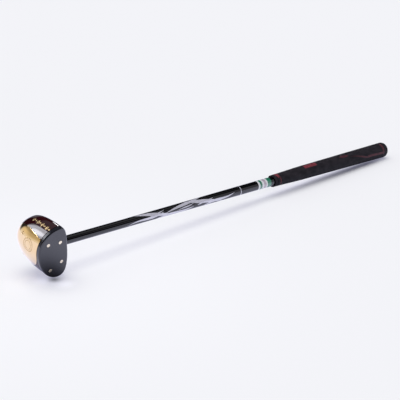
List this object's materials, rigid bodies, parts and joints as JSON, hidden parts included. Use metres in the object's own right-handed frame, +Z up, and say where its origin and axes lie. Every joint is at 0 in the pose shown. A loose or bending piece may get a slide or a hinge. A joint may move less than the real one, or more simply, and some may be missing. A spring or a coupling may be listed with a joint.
{
  "type": "park golf club",
  "caption": "Right-handed park golf club lying toe up: lacquered wood head with a black face plate and cambered brass sole plate, tapered black shaft and rubber grip.",
  "frame": {"origin": "centre of the club's outline on the floor that it lies on, at the floor's level", "axes": "+X along the shaft from head to grip, +Y away from the side that the face looks to, +Z up; the club lies with its toe up, on the head's heel and the butt of the grip"},
  "size_m": [0.834, 0.082, 0.0906],
  "materials": {
    "lacquered_wood": "dark red stained wood under clear high-gloss lacquer",
    "face_resin": "black moulded resin, satin face, polished edge",
    "screw_brass": "filed flush and polished",
    "sole_brass": "polished, slightly satin",
    "weight_brass": "turned, unpolished",
    "ferrule_plastic": "turned and polished black",
    "shaft_gloss": "black gloss paint over carbon fibre, with silver and green bands",
    "tape_paper": "double-sided masking tape",
    "grip_rubber": "matte, finely textured, with dark red lines"
  },
  "bodies": {
    "root": {"head_block": "lacquered_wood", "face_plate": "face_resin", "face_screw_toe_sole": "screw_brass", "face_screw_toe_crown": "screw_brass", "face_screw_heel_crown": "screw_brass", "face_screw_heel_sole": "screw_brass", "sole_plate": "sole_brass", "sole_screw_toe": "screw_brass", "sole_screw_heel": "screw_brass", "balance_weight": "weight_brass", "ferrule": "ferrule_plastic", "shaft": "shaft_gloss", "grip_tape": "tape_paper", "grip": "grip_rubber"}
  },
  "joints": []
}
